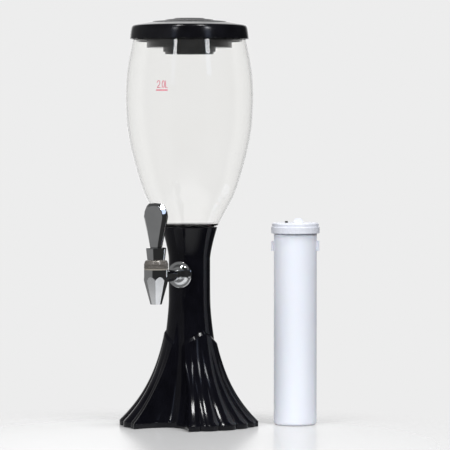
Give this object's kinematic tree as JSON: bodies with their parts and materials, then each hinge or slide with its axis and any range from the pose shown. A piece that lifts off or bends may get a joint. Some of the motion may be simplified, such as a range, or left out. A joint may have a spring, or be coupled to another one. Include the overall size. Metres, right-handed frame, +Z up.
{
  "type": "beer tower",
  "caption": "Table-top drink dispenser: clear barrel reservoir on a flared three-petal base, with a self-closing lever tap, a lift-off lid and a separate ice tube.",
  "frame": {"origin": "on the table, on the tower's upright axis, in the plane of the base's underside", "axes": "+Z up along the tower's axis; the tap points to -Y; the ice tube stands on the +X side"},
  "size_m": [0.2278, 0.1881, 0.4795],
  "materials": {
    "base_black": "polished black ABS",
    "lid_black": "satin black ABS",
    "reservoir_clear": "clear polycarbonate",
    "chrome_trim": "bright chrome",
    "steel": "plain",
    "seal_grey": "matte silicone",
    "seal_beige": "matte silicone",
    "ice_white": "bluish white polypropylene",
    "cap_white": "white polypropylene",
    "bonnet_satin": "satin warm grey",
    "stem_white": "acetal"
  },
  "bodies": {
    "tower": {"base_shell": "base_black", "base_cover": "base_black", "cover_screws": "steel", "foot_pads": "seal_grey", "reservoir_gasket": "seal_grey", "reservoir": "reservoir_clear", "reservoir_funnel": "reservoir_clear", "reservoir_neck": "reservoir_clear", "escutcheon": "chrome_trim", "escutcheon_washer": "seal_grey", "shank_seal": "seal_grey", "tap_body": "chrome_trim", "bonnet_seal": "seal_beige", "bonnet": "bonnet_satin", "stem_spring": "steel"},
    "lid": {"lid": "lid_black", "lid_disc": "lid_black", "lid_seal": "seal_grey", "lid_socket": "lid_black"},
    "stem": {"stem": "stem_white", "seat_plug": "seal_beige"},
    "lever": {"lever": "chrome_trim", "lever_collar": "chrome_trim", "pivot_pin": "steel"},
    "ice_tube": {"ice_tube": "ice_white"},
    "ice_cap": {"ice_cap": "cap_white", "ice_cap_seal": "seal_grey", "vent_plug": "seal_grey"}
  },
  "joints": [
    {"name": "lid_lift", "type": "slide", "parent": "tower", "child": "lid", "axis": [0, 0, 1], "range_m": [0, 0.06]},
    {"name": "stem_lift", "type": "slide", "parent": "tower", "child": "stem", "axis": [0, 0, 1], "range_m": [0, 0.0055], "deforming": ["stem_spring"]},
    {"name": "lever_tilt", "type": "hinge", "parent": "stem", "child": "lever", "pos_m": [0, -0.091, 0.205], "axis": [1, 0, 0], "range_deg": [0, 35], "stiffness_Nm_per_rad": 0.25, "springref_deg": -11.46},
    {"name": "ice_tube_lift", "type": "slide", "parent": "tower", "child": "ice_tube", "axis": [0, 0, 1], "range_m": [0, 0.08]},
    {"name": "ice_cap_lift", "type": "slide", "parent": "ice_tube", "child": "ice_cap", "axis": [0, 0, 1], "range_m": [0, 0.03]}
  ],
  "couplings": [
    {"joint": "stem_lift", "follows": "lever_tilt", "m_per_rad": 0.009}
  ]
}
